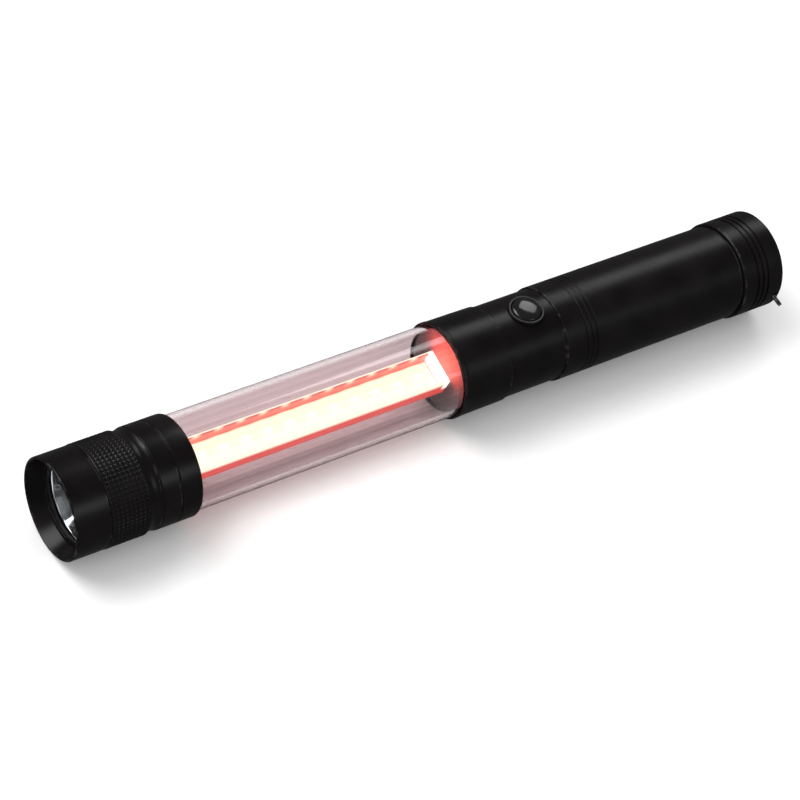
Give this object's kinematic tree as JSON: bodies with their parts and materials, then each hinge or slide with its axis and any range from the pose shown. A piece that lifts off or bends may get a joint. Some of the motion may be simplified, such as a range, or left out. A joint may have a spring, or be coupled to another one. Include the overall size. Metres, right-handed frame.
{
  "type": "traffic baton light",
  "caption": "Hand torch and traffic baton: knurled head with spot light, clear tube over a red LED strip, push button, battery handle, screw tail cap with split ring.",
  "frame": {"origin": "centre of the front rim, on the torch's axis", "axes": "+X along the axis from the front rim to the tail, +Z straight out of the push button, -Y towards the split ring's side"},
  "size_m": [0.2565, 0.0338, 0.0317],
  "materials": {
    "black_anodised": "satin anodised",
    "clear_plastic": "clear, polished",
    "window_clear": "polished",
    "bright_reflector": "mirror",
    "white_plastic": "moulded satin",
    "black_plastic": "moulded satin",
    "button_plastic": "gloss",
    "white_board": "solder mask",
    "green_board": "solder mask",
    "red_led": "lit emitter",
    "white_led": "emitter",
    "chip_black": "moulded",
    "black_rubber": "matt",
    "grey_aluminium": "turned",
    "spring_steel": "bright drawn",
    "brass_contact": "stamped",
    "red_lead": "gloss sleeve",
    "black_lead": "gloss sleeve",
    "cell_can": "printed film"
  },
  "bodies": {
    "torch": {"front_bezel": "black_anodised", "lens_seal": "black_rubber", "lens_window": "window_clear", "reflector": "bright_reflector", "reflector_collar": "white_plastic", "front_led": "white_led", "front_led_board": "white_board", "heat_sink": "grey_aluminium", "head_shell": "black_anodised", "tube_front_gasket": "black_rubber", "clear_tube": "clear_plastic", "tube_rear_gasket": "black_rubber", "front_bulkhead": "black_plastic", "rear_bulkhead": "black_plastic", "strip_tray": "white_plastic", "strip_board": "white_board", "strip_leds": "red_led", "strip_resistors": "chip_black", "tray_screws": "spring_steel", "lead_wire_red": "red_lead", "lead_wire_black": "black_lead", "tube_sleeve": "black_anodised", "switch_housing": "black_anodised", "handle_seal": "black_rubber", "button_ring": "black_anodised", "switch_body": "black_plastic", "driver_board": "green_board", "driver_parts": "chip_black", "board_carrier": "black_plastic", "contact_holder": "black_plastic", "front_contact": "brass_contact", "front_contact_spring": "spring_steel", "handle_tube": "black_anodised"},
    "button": {"button_cap": "button_plastic", "switch_stem": "white_plastic"},
    "cartridge": {"cartridge_front_disc": "black_plastic", "cartridge_rear_disc": "black_plastic", "cartridge_posts": "black_plastic", "battery_cells": "cell_can", "cell_springs": "spring_steel", "cartridge_front_contact": "brass_contact", "cartridge_rear_contact": "brass_contact"},
    "tail_contacts": {"tail_contact_plate": "brass_contact", "tail_spring": "spring_steel"},
    "tail_cap": {"tail_cap": "black_anodised", "tail_seal": "black_rubber", "tail_retainer": "brass_contact"},
    "split_ring": {"split_ring": "spring_steel"}
  },
  "joints": [
    {"name": "button_press", "type": "slide", "parent": "torch", "child": "button", "axis": [0, 0, -1], "range_m": [0, 0.0008], "stiffness_N_per_m": 2500, "springref_m": -0.0004},
    {"name": "tail_cap_draw", "type": "slide", "parent": "torch", "child": "tail_contacts", "axis": [1, 0, 0], "range_m": [0, 0.15]},
    {"name": "cartridge_draw", "type": "slide", "parent": "torch", "child": "cartridge", "axis": [1, 0, 0], "range_m": [0, 0.075]},
    {"name": "tail_cap_turn", "type": "hinge", "parent": "tail_contacts", "child": "tail_cap", "pos_m": [0.2463, 0, 0], "axis": [1, 0, 0], "continuous": true},
    {"name": "ring_swing", "type": "hinge", "parent": "tail_cap", "child": "split_ring", "pos_m": [0.2523, -0.01476, -0.00103], "axis": [0, 0.9976, 0.0698], "range_deg": [-112, 2]}
  ],
  "couplings": [
    {"joint": "cartridge_draw", "follows": "tail_cap_draw", "ratio": 0.5}
  ]
}
